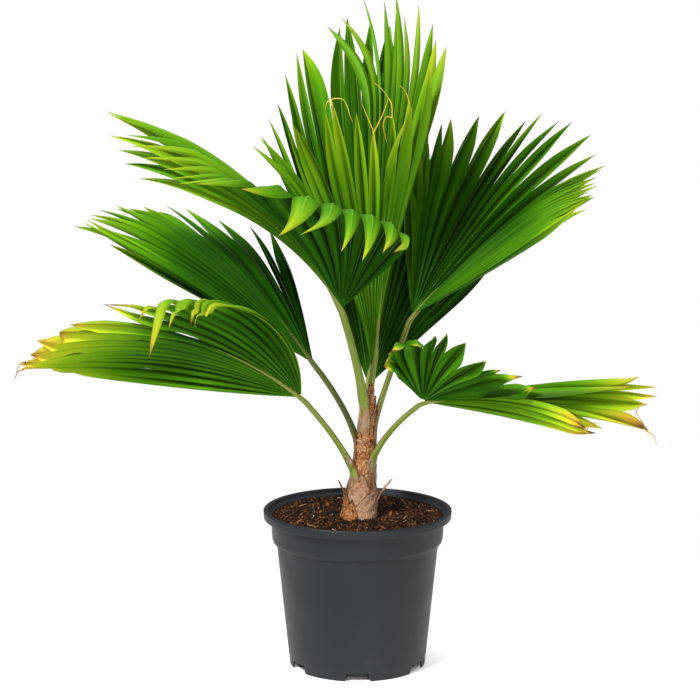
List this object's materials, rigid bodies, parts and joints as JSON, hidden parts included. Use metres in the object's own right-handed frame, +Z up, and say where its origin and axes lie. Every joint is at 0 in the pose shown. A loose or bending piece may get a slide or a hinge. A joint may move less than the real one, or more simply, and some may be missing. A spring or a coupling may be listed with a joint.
{
  "type": "potted fan palm",
  "caption": "Young fan palm with pleated fronds on slender stalks and a short fibrous trunk, growing in a round nursery pot.",
  "frame": {"origin": "centre of the pot's flat underside, on the floor it stands on", "axes": "+Z up, the plant's front as pictured towards -Y, +X to the viewer's right"},
  "size_m": [0.9222, 0.4582, 0.9982],
  "materials": {
    "pot": "matte anthracite injection-moulded plastic with a soft sheen",
    "potting_mix": "dark damp potting mix of bark chips and peat with white grains",
    "trunk": "tan brown fibrous leaf sheaths, rough and dry",
    "petiole": "smooth light green stalk with tan fibrous edges",
    "blade": "pleated leaf, satin deep green with paler ribs and yellow to brown tips",
    "new_blade": "pleated young leaf, satin bright green"
  },
  "bodies": {
    "root": {"pot": "pot", "potting_mix": "potting_mix", "trunk": "trunk", "petiole_upper_right": "petiole", "petiole_arching_left": "petiole", "petiole_middle_left": "petiole", "petiole_low_left": "petiole", "petiole_back": "petiole", "petiole_low_right": "petiole", "blade_upper_right": "blade", "blade_arching_left": "blade", "blade_middle_left": "blade", "blade_low_left": "blade", "blade_back": "blade", "blade_low_right": "blade", "blade_newest": "new_blade"}
  },
  "joints": []
}
